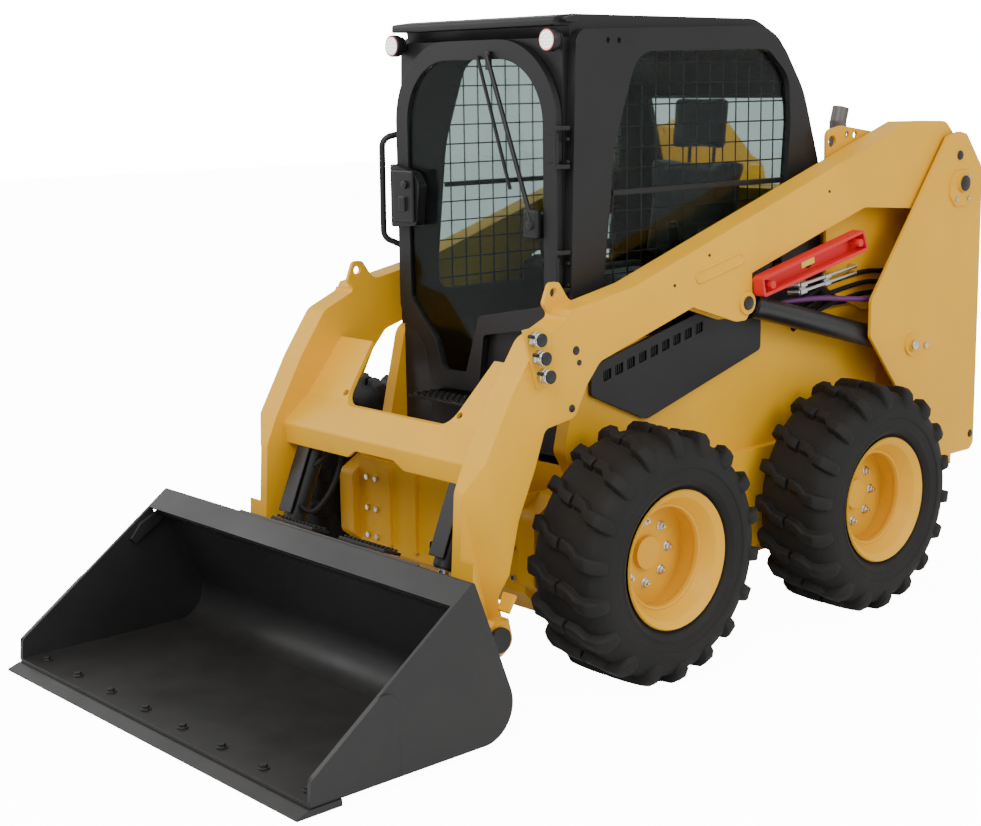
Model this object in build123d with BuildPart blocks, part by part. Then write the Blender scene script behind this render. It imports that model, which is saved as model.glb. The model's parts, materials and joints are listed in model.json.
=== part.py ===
"""Skid steer loader with lift arms, tilting bucket, cab door and engine covers.

Millimetres. X forward, Y left, Z up. Side profiles are drawn from the rear axle:
side(y) is a plane at that y whose local x runs forward from the rear axle and whose
local y is the height above ground.
"""
import math
import os

from build123d import *

os.makedirs("parts", exist_ok=True)

# wheels
rear_axle_x = -803
wheelbase = 1105
axle_z = 415.5
axle_radius = 42
tyre_centre_y = 685
tyre_width = 306
lug_top = 415
lug_root = 388
shoulder_top = 390
shoulder_root = 350
lug_count = 13
bead_radius = 208
rim_flange = 226
rim_lip = 9
rim_well = 172
rim_width = 250
disc_plate = 12
hub_radius = 78
stud_circle = 103
stud_radius = 8

# running fits and gaps
pin_fit = 0.05
gap = 6

# linkage pins: x from the rear axle, z
arm_pivot = (-730, 1496)
lift_base = (-432, 907)
lift_eye = (506, 1153)
bucket_pin = (1665, 233)
tilt_base = (1572, 757)
tilt_crank = 135
tilt_crank_angle = 51.7
tilt_eye = (
    bucket_pin[0] + tilt_crank * math.cos(math.radians(tilt_crank_angle)),
    bucket_pin[1] + tilt_crank * math.sin(math.radians(tilt_crank_angle)),
)
arm_pin_radius = 35
lift_pin_radius = 25
tilt_pin_radius = 20
bucket_pin_radius = 30

# chassis
belly_z = 195
sill_z = 610
deck_z = 1060
nose_x = 1400
tail_x = -930
rear_end_x = -984
chassis_half = 430
wall = 12
case_width = 75
bulkhead_x = -160

# towers and arms
tower_inner_y = 468
tower_plate = 12
arm_inner_y = 490
arm_width = 98
arm_outer_y = arm_inner_y + arm_width
tower_outer_y = arm_outer_y + 12
lift_y = (arm_inner_y + arm_outer_y) / 2 + 4

# cab
cab_half = 432
cab_wall = 34
cab_front_x = 1185
cab_top_z = 2060
glass = 6
rear_glass_half = 330
roof_thickness = 40
door_thickness = 26
door_top_z = 2036
door_half = 400
door_rim = 62

# hood and rear door
hood_half = tower_inner_y - gap - 4
hood_front = (-150, 1490)
hood_rear = (-905, 1395)
hood_thickness = 14
hood_hinge = (-150, 1480)
door_rear_half = 440
door_rear_low = 440
door_rear_high = 1345

# bucket
bucket_half = 815
bucket_wall = 12
lip_x = 2590
edge_thickness = 20
edge_clear = 6
coupler_half = tower_inner_y + 6
back_low = (1790, 100)
back_high = (1954, 526)
lip_band = 120
tilt_y = 400
lug_plate = 14
lug_gap = 84


def side(y):
    return Plane(origin=(rear_axle_x, y, 0), x_dir=(1, 0, 0), z_dir=(0, -1, 0))


def front(x):
    return Plane.YZ.offset(rear_axle_x + x)


def polygon(plane, points, radii, amount, mode=Mode.ADD):
    """Extrude a closed outline; radii gives a corner radius for each point, or one for all."""
    if not isinstance(radii, (list, tuple)):
        radii = [radii] * len(points)
    with BuildSketch(plane) as profile:
        with BuildLine():
            Polyline(*points, close=True)
        make_face()
        for point, radius in zip(points, radii):
            if radius:
                corner = profile.vertices().sort_by_distance(Vector(*point))[0]
                fillet(corner, radius)
    extrude(profile.sketch, amount=amount, mode=mode)


def plate(points, y_high, y_low, radii=0, mode=Mode.ADD):
    polygon(side(y_high), points, radii, y_high - y_low, mode)


def front_plate(points, x_high, x_low, radii=0, mode=Mode.ADD):
    polygon(front(x_high), points, radii, x_low - x_high, mode)


def disc(centre, radius, y_high, y_low, mode=Mode.ADD):
    with BuildSketch(side(y_high)) as profile:
        with Locations(centre):
            Circle(radius)
    extrude(profile.sketch, amount=y_high - y_low, mode=mode)


def block(x_low, x_high, y_low, y_high, z_low, z_high, mode=Mode.ADD):
    with Locations((rear_axle_x + x_low, y_low, z_low)):
        Box(
            x_high - x_low,
            y_high - y_low,
            z_high - z_low,
            align=(Align.MIN, Align.MIN, Align.MIN),
            mode=mode,
        )


def save(shape, name):
    shape.label = name
    export_step(shape, f"parts/{name}.step")


def both(shape, name):
    save(shape, f"{name}_left")
    save(mirror(shape, about=Plane.XZ), f"{name}_right")


def pair(shape, name):
    """A piece and its mirror image as one node on one body."""
    save(Compound([shape, mirror(shape, about=Plane.XZ)]), name)


def toward(a, b, s):
    return (a[0] + (b[0] - a[0]) * s, a[1] + (b[1] - a[1]) * s)


# tyres: each half is a toothed ring in two steps, so the lugs run aslant, with a drawn-in shoulder
half = tyre_width / 2
shoulder = 26
step_width = 62
step_turn = 7
lug_fill = 0.42
sidewall_radius = 318
bead_inset = 41


def toothed(x, y, top, root, turn):
    plane = Plane(origin=(rear_axle_x + x, y, axle_z), x_dir=(1, 0, 0), z_dir=(0, 1, 0))
    points = []
    for k in range(lug_count):
        for radius, at in (
            (root, -lug_fill / 2 - 0.06), (top, -lug_fill / 2), (top, lug_fill / 2), (root, lug_fill / 2 + 0.06),
        ):
            angle = math.radians(turn + (k + at) * 360 / lug_count)
            points.append((radius * math.cos(angle), radius * math.sin(angle)))
    with BuildSketch(plane) as outline:
        with BuildLine():
            Polyline(*points, close=True)
        make_face()
    return outline.sketch.face()


def many_sided(x, y, radius):
    plane = Plane(origin=(rear_axle_x + x, y, axle_z), x_dir=(1, 0, 0), z_dir=(0, 1, 0))
    with BuildSketch(plane) as outline:
        RegularPolygon(radius, lug_count)
    return outline.sketch.face()


def make_tyre(x):
    c = tyre_centre_y
    with BuildPart() as tyre:
        for s in (1, -1):
            turn = 0 if s > 0 else 180 / lug_count
            extrude(toothed(x, c, lug_top, lug_root, turn), amount=step_width, dir=(0, s, 0))
            outer = toothed(x, c + s * step_width, lug_top, lug_root, turn + step_turn)
            extrude(outer, amount=half - shoulder - step_width, dir=(0, s, 0))
            edge = toothed(x, c + s * (half - shoulder), lug_top, lug_root, turn + step_turn)
            wall_edge = toothed(x, c + s * half, shoulder_top, shoulder_root, turn + step_turn)
            loft([edge, wall_edge], ruled=True)
        for s in (1, -1):
            mouth = many_sided(x, c + s * (half + 0.01), sidewall_radius)
            throat = many_sided(x, c + s * (half - bead_inset), bead_radius + 30)
            loft([mouth, throat], ruled=True, mode=Mode.SUBTRACT)
        with BuildSketch(side(c + half + 1)) as bore:
            with Locations((x, axle_z)):
                RegularPolygon(bead_radius, lug_count, major_radius=False)
        extrude(bore.sketch, amount=tyre_width + 2, mode=Mode.SUBTRACT)
    return tyre.part


tyre_shape = make_tyre(0)


def make_rim(x):
    """Deep dish rim: flanges, bead seats, well, disc with stud holes and the axle stub."""
    c = tyre_centre_y
    out = rim_width / 2
    section = [
        (rim_flange, out + 6),
        (rim_flange - 4, out + rim_lip + 4),
        (bead_radius - 9, out - 6),
        (rim_well, out - 50),
        (rim_well, -out + 50),
        (bead_radius - 9, -out + 6),
        (rim_flange - 4, -out - rim_lip - 4),
        (rim_flange, -out - 6),
        (bead_radius, -out + 12),
        (bead_radius, -out + 40),
        (rim_well + 9, -out + 62),
        (rim_well + 9, out - 62),
        (bead_radius, out - 40),
        (bead_radius, out - 12),
    ]
    wheel = Plane(origin=(rear_axle_x + x, c, axle_z), x_dir=(0, 0, 1), z_dir=(-1, 0, 0))
    with BuildPart() as rim:
        with BuildSketch(wheel) as shape:
            with BuildLine():
                Polyline(*section, close=True)
            make_face()
        revolve(shape.sketch, axis=Axis((rear_axle_x + x, 0, axle_z), (0, 1, 0)))
        disc((x, axle_z), rim_well + 4, c + disc_face + disc_plate, c + disc_face)
        with BuildSketch(side(c + disc_face + disc_plate + 1)) as studs:
            with Locations((x, axle_z)):
                with PolarLocations(stud_circle, 8):
                    Circle(stud_radius)
        extrude(studs.sketch, amount=disc_plate + 2, mode=Mode.SUBTRACT)
        disc((x, axle_z), hub_radius, c + disc_face, chassis_half + case_width + gap)
        disc((x, axle_z), hub_radius - 24, c + disc_face + 30, c + disc_face)
        disc((x, axle_z), axle_radius, c + disc_face, chassis_half + wall)
    return rim.part


disc_face = -20
rim_shape = make_rim(0)
for label, x in (("front", wheelbase), ("rear", 0)):
    both(Pos(x, 0, 0) * tyre_shape, f"tyre_{label}")
    both(Pos(x, 0, 0) * rim_shape, f"rim_{label}")

# chassis: tub, chain cases with axle bores, body sides, nose plate, belly and rear beam
tub = [(tail_x, 330), (-660, belly_z), (nose_x - 90, belly_z), (nose_x, belly_z + 90), (nose_x, sill_z), (tail_x, sill_z)]
inside = [(tail_x + wall, 338), (-656, belly_z + wall), (nose_x - 95, belly_z + wall),
          (nose_x - wall, belly_z + 95), (nose_x - wall, sill_z + 20), (tail_x + wall, sill_z + 20)]
with BuildPart() as chassis:
    plate(tub, chassis_half, -chassis_half)
    plate(inside, chassis_half - wall, -chassis_half + wall, mode=Mode.SUBTRACT)
    for s in (-1, 1):
        low, high = sorted((s * chassis_half, s * (chassis_half + case_width)))
        plate(
            [(-330, 250), (1330, 250), (nose_x + 30, 330), (nose_x + 30, sill_z - 60), (1330, sill_z), (-330, sill_z)],
            high,
            low,
            radii=25,
        )
        low, high = sorted((s * (chassis_half - wall), s * tower_inner_y))
        plate(
            [(tail_x + 8, sill_z - 20), (1180, sill_z - 20), (1260, sill_z + 120), (1180, deck_z), (tail_x + 8, deck_z)],
            high,
            low,
            radii=[0, 0, 40, 60, 0],
        )
        plate(
            [(tail_x + 60, sill_z + 60), (-420, sill_z + 60), (-420, deck_z - 40), (tail_x + 60, deck_z - 40)],
            high + 1 if s > 0 else high - 20,
            low + 20 if s > 0 else low - 1,
            radii=30,
            mode=Mode.SUBTRACT,
        )
        for x in (0, wheelbase):
            low, high = sorted((s * (chassis_half - 1), s * (chassis_half + case_width + 1)))
            disc((x, axle_z), axle_radius + pin_fit, high, low, Mode.SUBTRACT)
    block(bulkhead_x, bulkhead_x + wall, -chassis_half + wall, chassis_half - wall, belly_z + wall, deck_z)
    block(nose_x - 200, nose_x - 200 + wall, -chassis_half + wall, chassis_half - wall, belly_z + wall, sill_z + 60)
    for y in (-250, -110, 110, 250):
        block(nose_x, nose_x + 14, y - 8, y + 8, belly_z + 120, sill_z - 20)
    block(tail_x - 22, tail_x, -chassis_half - 40, chassis_half + 40, 340, door_rear_low - 12)
save(chassis.part, "chassis_frame")

# towers: outer plates with returns and pins, inner plates with their holes
arch = 490
outer_outline = [
    (-632, 1676), (-710, 1692), (-760, 1682), (-875, 1548), (-885, 460), (-860, 436),
    (-520, 436), (-450, 640), (-314, 796), (-174, 963), (-175, 1098),
]
outer_radii = [30, 40, 30, 60, 20, 20, 30, 90, 60, 30, 30]
inner_outline = [
    (-60, 1712), (-150, 1728), (-420, 1690), (-640, 1660), (-875, 1540), (tail_x + 8, 1370),
    (tail_x + 8, deck_z - 20), (-300, deck_z - 20), (-75, 1140),
]
inner_radii = [30, 90, 60, 60, 40, 30, 0, 0, 60]
with BuildPart() as outer:
    plate(outer_outline, tower_outer_y + tower_plate, tower_outer_y, outer_radii)
    block(-885, -885 + wall, tower_inner_y + tower_plate, tower_outer_y, 448, 1500)
    block(-885, -520, tower_inner_y, tower_outer_y, 436, 436 + wall)
    block(-560, -548, tower_inner_y, tower_outer_y, 448, 620)
    plate([(-780, 1545), (-690, 1545), (-650, 1500), (-650, 1450), (-690, 1410), (-780, 1410)],
          tower_outer_y + tower_plate + 8, tower_outer_y + tower_plate, 22)
    disc(arm_pivot, arm_pin_radius, tower_outer_y + tower_plate + 18, tower_inner_y)
    disc(lift_base, lift_pin_radius, tower_outer_y + tower_plate + 16, tower_inner_y)
    disc(lift_base, lift_pin_radius + 16, tower_outer_y + tower_plate + 8, tower_outer_y)
    disc((-716, 1602), 14, tower_outer_y + tower_plate + 1, tower_outer_y - 1, Mode.SUBTRACT)
    disc((-860, 500), 16, tower_outer_y + tower_plate + 1, tower_outer_y - 1, Mode.SUBTRACT)
pair(outer.part, "tower_outer_plates")
with BuildPart() as inner:
    plate(inner_outline, tower_inner_y + tower_plate, tower_inner_y, inner_radii)
    for centre, radius in (((-95, 1672), 22), ((-182, 1694), 13), ((-232, 1692), 13), ((-205, 1640), 9)):
        disc(centre, radius, tower_inner_y + tower_plate + 1, tower_inner_y - 1, Mode.SUBTRACT)
    disc(arm_pivot, arm_pin_radius, tower_inner_y + tower_plate + 1, tower_inner_y - 1, Mode.SUBTRACT)
    disc(lift_base, lift_pin_radius, tower_inner_y + tower_plate + 1, tower_inner_y - 1, Mode.SUBTRACT)
pair(inner.part, "tower_inner_plates")

# engine, hood lid with louvres, exhaust, rear door with louvres
with BuildPart() as engine:
    block(-840, -260, -260, 260, 360, 1080)
save(engine.part, "engine_block")

with BuildPart() as hood:
    drop = 46
    top = [hood_front, (-700, hood_front[1] - 22), hood_rear, (hood_rear[0], hood_rear[1] - drop),
           (-700, hood_front[1] - 22 - drop), (hood_front[0], hood_front[1] - drop)]
    plate(top, hood_half, -hood_half, [4, 60, 12, 0, 60, 0])
    hollow = [(hood_front[0] - hood_thickness, hood_front[1] - hood_thickness),
              (-700, hood_front[1] - 22 - hood_thickness),
              (hood_rear[0] + hood_thickness, hood_rear[1] - hood_thickness + 2),
              (hood_rear[0] + hood_thickness, hood_rear[1] - drop - 60),
              (hood_front[0] - hood_thickness, hood_front[1] - drop - 60)]
    plate(hollow, hood_half - hood_thickness, -hood_half + hood_thickness, mode=Mode.SUBTRACT)
    for i in range(9):
        x = -250 - i * 34
        block(x - 16, x, -300, -60, 1400, 1500, Mode.SUBTRACT)
        block(x - 16, x, 60, 300, 1400, 1500, Mode.SUBTRACT)
    for s in (-1, 1):
        low, high = sorted((s * 330, s * 420))
        disc(hood_hinge, 9, high, low)
save(hood.part, "hood")

stack_x = -637
stack_y = 100
with BuildPart() as exhaust:
    with BuildSketch(Plane.XY.offset(1476)) as base:
        with Locations((rear_axle_x + stack_x, stack_y)):
            Circle(60)
    extrude(base.sketch, amount=14)
    with BuildSketch(Plane.XY.offset(1480)) as pipe:
        with Locations((rear_axle_x + stack_x, stack_y)):
            Circle(34)
    extrude(pipe.sketch, amount=250)
    tip = Plane(origin=(rear_axle_x + stack_x, stack_y, 1722), x_dir=(0, 1, 0), z_dir=(-0.28, 0, 0.96))
    with BuildSketch(tip) as end:
        Circle(33)
    extrude(end.sketch, amount=62)
    with BuildSketch(tip.offset(20)) as mouth:
        Circle(28)
    extrude(mouth.sketch, amount=60, mode=Mode.SUBTRACT)
    plate([hood_front, (-700, hood_front[1] - 22), (-1000, 1300), (hood_front[0], 1300)],
          hood_half, -hood_half, mode=Mode.SUBTRACT)
save(exhaust.part, "exhaust_stack")

rear_hinge = (-958, door_rear_half + 12)
with BuildPart() as rear_door:
    shape = [(rear_end_x, door_rear_low + 30), (-968, door_rear_low), (-936, door_rear_low),
             (-936, door_rear_high), (-960, door_rear_high), (rear_end_x, door_rear_high - 60)]
    plate(shape, door_rear_half, -door_rear_half, [12, 0, 0, 0, 10, 25])
    block(-970, -930, -door_rear_half + 16, door_rear_half - 16, door_rear_low + 16, door_rear_high - 16, Mode.SUBTRACT)
    for i in range(11):
        z = 700 + i * 42
        block(rear_end_x - 2, -960, -250, 250, z, z + 20, Mode.SUBTRACT)
    for z in (560, 1200):
        with BuildSketch(Plane.XY.offset(z)) as knuckle:
            with Locations((rear_axle_x + rear_hinge[0], rear_hinge[1])):
                Circle(11)
        extrude(knuckle.sketch, amount=90)
        block(rear_hinge[0] - 8, rear_hinge[0] + 8, door_rear_half - 2, rear_hinge[1], z, z + 90)
save(rear_door.part, "rear_door")

# black side panels under the cab with their row of slots
slot_panel = [(300, 960), (300, 1085), (600, 1130), (1150, 1000), (1150, 905), (890, 791)]
panel_y = tower_inner_y + 2
with BuildPart() as panel:
    plate(slot_panel, panel_y + 14, panel_y, [20, 20, 40, 25, 20, 40])
    for i in range(9):
        x = 610 + i * 56
        top = 1122 - (x - 600) * (130 / 550)
        plate([(x, top - 62), (x + 36, top - 70), (x + 36, top - 36), (x, top - 28)],
              panel_y + 15, panel_y - 1, 4, Mode.SUBTRACT)
pair(panel.part, "side_panels")

# cab: two side frames, roof, rear wall, front frame, floor
side_outline = [
    (cab_front_x, deck_z), (cab_front_x, 1270), (1158, cab_top_z), (250, cab_top_z + 20),
    (128, 2010), (14, 1857), (-84, 1588), (-118, deck_z),
]
side_radii = [0, 300, 50, 160, 150, 300, 300, 0]
window = [
    (1046, 1170), (988, 1690), (880, 1992), (215, 2000), (98, 1905), (86, 1740), (130, 1170),
]
window_radii = [60, 400, 110, 90, 110, 300, 60]
inner_y = cab_half - cab_wall
with BuildPart() as cab_side:
    plate(side_outline, cab_half, inner_y, side_radii)
    plate(window, cab_half + 1, inner_y - 1, window_radii, Mode.SUBTRACT)
    for x in (1016, 966):
        disc((x, 2026), 9, cab_half + 1, cab_half - 8, Mode.SUBTRACT)
both(cab_side.part, "cab_side")

with BuildPart() as panes:
    for s in (1, -1):
        low, high = sorted((s * (cab_half - 20), s * (cab_half - 20 - glass)))
        plate(window, high, low, window_radii)
        low, high = sorted((s * (cab_half - 12), s * (cab_half - 20)))
        plate([(980, 1535), (980, 1551), (110, 1551), (110, 1535)], high, low)
    plate([(-92, 1250), (-86, 1250), (-60, 1584), (4, 1830), (-2, 1830), (-66, 1586)], rear_glass_half, -rear_glass_half)
save(panes.part, "cab_windows")

visor_x = 1225
with BuildPart() as roof:
    roof_half = cab_half - 14
    plate(
        [(visor_x, cab_top_z + 12), (visor_x, cab_top_z + 38), (1140, cab_top_z + 48),
         (250, cab_top_z + 44), (110, 2040), (-6, 1870), (14, 1840), (150, 1985), (270, cab_top_z - 18),
         (1150, cab_top_z - 24), (1160, cab_top_z + 12)],
        inner_y, -inner_y, [6, 12, 60, 150, 160, 6, 6, 120, 120, 0, 0],
    )
    for s in (-1, 1):
        low, high = sorted((s * (inner_y - 4), s * (cab_half - 8)))
        plate([(visor_x - 30, cab_top_z + 22), (visor_x - 30, cab_top_z + 36), (1140, cab_top_z + 44),
               (1140, cab_top_z + 22)], high, low, [4, 8, 0, 0])
save(roof.part, "cab_roof")

with BuildPart() as rear_wall:
    plate([(-6, 1870), (14, 1840), (-50, 1580), (-84, deck_z), (-118, deck_z), (-84, 1588)], inner_y, -inner_y)
    block(-200, 120, -rear_glass_half, rear_glass_half, 1250, 1830, Mode.SUBTRACT)
save(rear_wall.part, "cab_rear_wall")

# front frame around the door, floor with footwell and consoles
door_face_x = cab_front_x + 5
shoulder_z = 1126
step_y = 10
foot_low = 864


def door_shape(inset):
    """Door outline drawn in by inset; its foot is narrow so that it passes the crossmember."""
    h = door_half - inset
    top = door_top_z - inset
    points = [
        (-h, shoulder_z + inset * 0.6), (-h, top), (h, top), (h, shoulder_z + inset),
        (step_y + 30 - inset * 0.4, shoulder_z - 60 + inset), (step_y - inset, foot_low + inset),
        (-235 + inset, foot_low + inset), (-272 + inset, 990 + inset * 0.6),
    ]
    radii = [40, 270 - inset, 270 - inset, 40, 20, 24, 24, 50]
    return points, radii


with BuildPart() as front_frame:
    front_plate(
        [(-inner_y, cab_top_z - 24), (-inner_y, deck_z), (-chassis_half + wall + 2, deck_z - 1),
         (-chassis_half + wall + 2, 690), (chassis_half - wall - 2, 690),
         (chassis_half - wall - 2, deck_z - 1), (inner_y, deck_z), (inner_y, cab_top_z - 24)],
        cab_front_x, cab_front_x - cab_wall,
    )
    points, radii = door_shape(26)
    front_plate(points, cab_front_x + 1, cab_front_x - cab_wall - 1, radii, Mode.SUBTRACT)
save(front_frame.part, "cab_front_frame")

floor_half = inner_y - 8
seat_deck = 1056
foot_z = 742
with BuildPart() as cab_floor:
    plate([(bulkhead_x + wall, seat_deck - wall), (620, seat_deck - wall), (620, foot_z - wall), (cab_front_x - cab_wall, foot_z - wall),
           (cab_front_x - cab_wall, foot_z), (632, foot_z), (632, seat_deck), (bulkhead_x + wall, seat_deck)],
          floor_half, -floor_half, [0, 0, 0, 0, 0, 30, 10, 0])
    for s in (-1, 1):
        low, high = sorted((s * 290, s * floor_half))
        plate([(250, seat_deck - 1), (250, 1230), (560, 1262), (628, 1240), (610, seat_deck - 1)], high, low, [0, 40, 60, 30, 0])
save(cab_floor.part, "cab_floor")

seat_half = 245
with BuildPart() as seat:
    plate([(150, seat_deck + 1), (630, seat_deck + 1), (650, 1190), (600, 1215), (300, 1195), (215, 1240),
           (150, 1600), (120, 1640), (60, 1630), (40, 1590), (110, 1180)],
          seat_half, -seat_half, [20, 20, 30, 30, 60, 60, 20, 25, 25, 25, 40])
    plate([(135, 1600), (115, 1830), (90, 1850), (40, 1840), (70, 1600)], 140, -140, [0, 25, 25, 25, 0])
save(seat.part, "seat")

door_hinge = (1222, 405)
with BuildPart() as door:
    points, radii = door_shape(0)
    front_plate(points, door_face_x + door_thickness, door_face_x, radii)
    points, radii = door_shape(door_rim)
    front_plate(points, door_face_x + door_thickness + 1, door_face_x - 1, radii, Mode.SUBTRACT)
    for z in (1250, 1640):
        with BuildSketch(Plane.XY.offset(z)) as knuckle:
            with Locations((rear_axle_x + door_hinge[0], door_hinge[1])):
                Circle(9)
        extrude(knuckle.sketch, amount=100)
        block(door_face_x + 8, door_hinge[0], door_half - 40, door_hinge[1], z + 10, z + 90)
    front_plate([(-door_half + 4, 1410), (-door_half + 4, 1630), (-270, 1600), (-240, 1560), (-260, 1420)],
                door_face_x + door_thickness + 34, door_face_x + door_thickness, [10, 10, 20, 30, 20])
save(door.part, "cab_door")
with BuildPart() as door_glass:
    points, radii = door_shape(door_rim)
    front_plate(points, door_face_x + 16, door_face_x + 16 - glass, radii)
save(door_glass.part, "door_glass")

lamp_y = 384
lamp_z = 2028
with BuildPart() as lamp:
    with BuildSketch(front(1196)) as body:
        with Locations((lamp_y, lamp_z)):
            Circle(37)
    extrude(body.sketch, amount=44, taper=-4)
    with BuildSketch(front(1241)) as lens:
        with Locations((lamp_y, lamp_z)):
            Circle(33)
    extrude(lens.sketch, amount=-6, mode=Mode.SUBTRACT)
    block(cab_front_x, 1200, lamp_y - 8, lamp_y + 8, lamp_z - 14, lamp_z + 6)
pair(lamp.part, "work_lamps")

with BuildPart() as grab:
    with BuildLine() as route:
        FilletPolyline(
            (rear_axle_x + 1150, -418, 1735),
            (rear_axle_x + 1232, -460, 1715),
            (rear_axle_x + 1232, -464, 1367),
            (rear_axle_x + 1150, -418, 1325),
            radius=40,
        )
    with BuildSketch(Plane(origin=route.line @ 0, z_dir=route.line % 0)) as tube:
        Circle(11)
    sweep(tube.sketch, path=route.line)
    plate(side_outline, -inner_y, -cab_half, mode=Mode.SUBTRACT)
save(grab.part, "grab_handle")

# lift arms: box arm, folded nose with its ear, slanted leg, slotted gusset for the cylinder eye
arm_outline = [
    (-850, 1480), (-812, 1590), (-650, 1733), (-418, 1736), (1047, 1262), (1263, 1221),
    (1312, 1290), (1352, 1290), (1379, 1226), (1350, 1188), (1484, 1130), (1590, 980),
    (1705, 780), (1745, 690), (1762, 430), (1735, 205), (1665, 163), (1598, 205), (1632, 351),
    (1570, 591), (1501, 736), (1456, 855), (1326, 874), (1273, 971), (1215, 1037),
    (-152, 1437), (-680, 1400), (-820, 1400),
]
arm_radii = [
    30, 30, 60, 40, 60, 40, 20, 20, 15, 15, 60, 60, 90, 60, 120, 40, 50, 40, 60,
    90, 60, 30, 40, 60, 50, 90, 60, 40,
]
gusset = [(482, 1300), (860, 1200), (773, 1163), (559, 1094), (506, 1094), (472, 1140)]
with BuildPart() as arm:
    plate(arm_outline, arm_outer_y, arm_inner_y, arm_radii)
    # ear stands on the inner plate only
    plate([(1230, 1232), (1300, 1320), (1400, 1320), (1420, 1240), (1352, 1191), (1340, 1212)],
          arm_outer_y + 1, arm_inner_y + 14, mode=Mode.SUBTRACT)
    # pivot end tapers in behind the tower plate
    disc(lift_eye, 140, arm_outer_y - 14, arm_inner_y + 22, Mode.SUBTRACT)
    plate(gusset, arm_outer_y, arm_outer_y - 12, [0, 0, 20, 30, 20, 30])
    plate(gusset, arm_inner_y + 20, arm_inner_y + 8, [0, 0, 20, 30, 20, 30])
    # long shallow recess and holes in the outer plate
    with BuildSketch(side(arm_outer_y + 1)) as slot:
        with Locations((250, 1420)):
            SlotOverall(560, 34, rotation=-16.3)
    for centre, radius in (((1321, 1084), 14), ((1308, 1045), 9), ((1341, 905), 12)):
        disc(centre, radius, arm_outer_y + 1, arm_outer_y - 14, Mode.SUBTRACT)
    disc((1335, 1258), 15, arm_inner_y + 15, arm_inner_y - 1, Mode.SUBTRACT)
    disc(arm_pivot, arm_pin_radius + pin_fit, arm_outer_y + 5, arm_inner_y - 5, Mode.SUBTRACT)
    disc(bucket_pin, bucket_pin_radius + pin_fit, arm_outer_y + 5, arm_inner_y - 5, Mode.SUBTRACT)
    # slanted outer front face of the leg
    with BuildSketch(Plane(origin=(rear_axle_x + 1745, arm_outer_y, 690), x_dir=(1, 0, 0), z_dir=(0.24, 0, 0.97))) as bevel:
        with BuildLine():
            Polyline((-70, 5), (60, 5), (60, -60), (4, -60), close=True)
        make_face()
    extrude(bevel.sketch, amount=150, mode=Mode.SUBTRACT)
    extrude(bevel.sketch, amount=-420, mode=Mode.SUBTRACT)
    disc(lift_eye, lift_pin_radius + 14, arm_outer_y + 8, arm_outer_y)
both(arm.part, "lift_arm")

cross_outline = [
    (1660, 688), (1674, 762), (1565, 852), (1414, 1032), (1404, 1024), (1556, 840),
    (1661, 756), (1648, 688),
]
with BuildPart() as cross:
    plate(cross_outline, arm_inner_y, -arm_inner_y, [0, 14, 20, 0, 0, 8, 2, 0])
    front_plate([(-350, 1200), (-272, 838), (272, 838), (350, 1200)], 1600, 1300, [0, 60, 60, 0], Mode.SUBTRACT)
    for y in (-295, 295):
        with BuildSketch(Plane(origin=(rear_axle_x + 1548, y, 872), x_dir=(0, 1, 0), z_dir=(0.75, 0, 0.66))) as hole:
            Circle(12)
        extrude(hole.sketch, amount=40, both=True, mode=Mode.SUBTRACT)
    front_plate([(-160, 680), (-100, 716), (100, 716), (160, 680)], 1690, 1630, [0, 30, 30, 0], Mode.SUBTRACT)
    lug = [(1560, 843), (1664, 760), (1656, 704), (1600, 716), (1545, 730), (1528, 780)]
    for s in (-1, 1):
        for y in (tilt_y - lug_gap / 2 - lug_plate, tilt_y + lug_gap / 2):
            low, high = sorted((s * y, s * (y + lug_plate)))
            plate(lug, high, low, [0, 0, 0, 20, 24, 24])
        low, high = sorted((s * (tilt_y - lug_gap / 2 - lug_plate - 8), s * (tilt_y + lug_gap / 2 + lug_plate + 8)))
        disc(tilt_base, tilt_pin_radius, high, low)
save(cross.part, "arm_crossmember")

with BuildPart() as brace:
    plate([(478, 1240), (-92, 1363), (-119, 1286), (466, 1170)], arm_outer_y + 44, arm_outer_y, [14, 14, 14, 14])
    plate([(466, 1230), (-86, 1350), (-107, 1297), (456, 1184)], arm_outer_y + 45, arm_outer_y + 6, mode=Mode.SUBTRACT)
    for centre in ((430, 1212), (-60, 1318)):
        disc(centre, 14, arm_outer_y + 54, arm_outer_y)
    disc((180, 1264), 20, arm_outer_y + 7, arm_outer_y - 1, Mode.SUBTRACT)
save(brace.part, "arm_lock_brace")

with BuildPart() as couplings:
    plate([(1420, 1000), (1440, 1148), (1478, 1178), (1548, 1172), (1490, 985)], arm_outer_y + 8, arm_outer_y, [10, 10, 14, 20, 14])
    for centre in ((1508, 1138), (1489, 1080), (1470, 1022)):
        disc(centre, 19, arm_outer_y + 52, arm_outer_y + 8)
        disc(centre, 23, arm_outer_y + 40, arm_outer_y + 22)
save(couplings.part, "quick_couplings")


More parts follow.
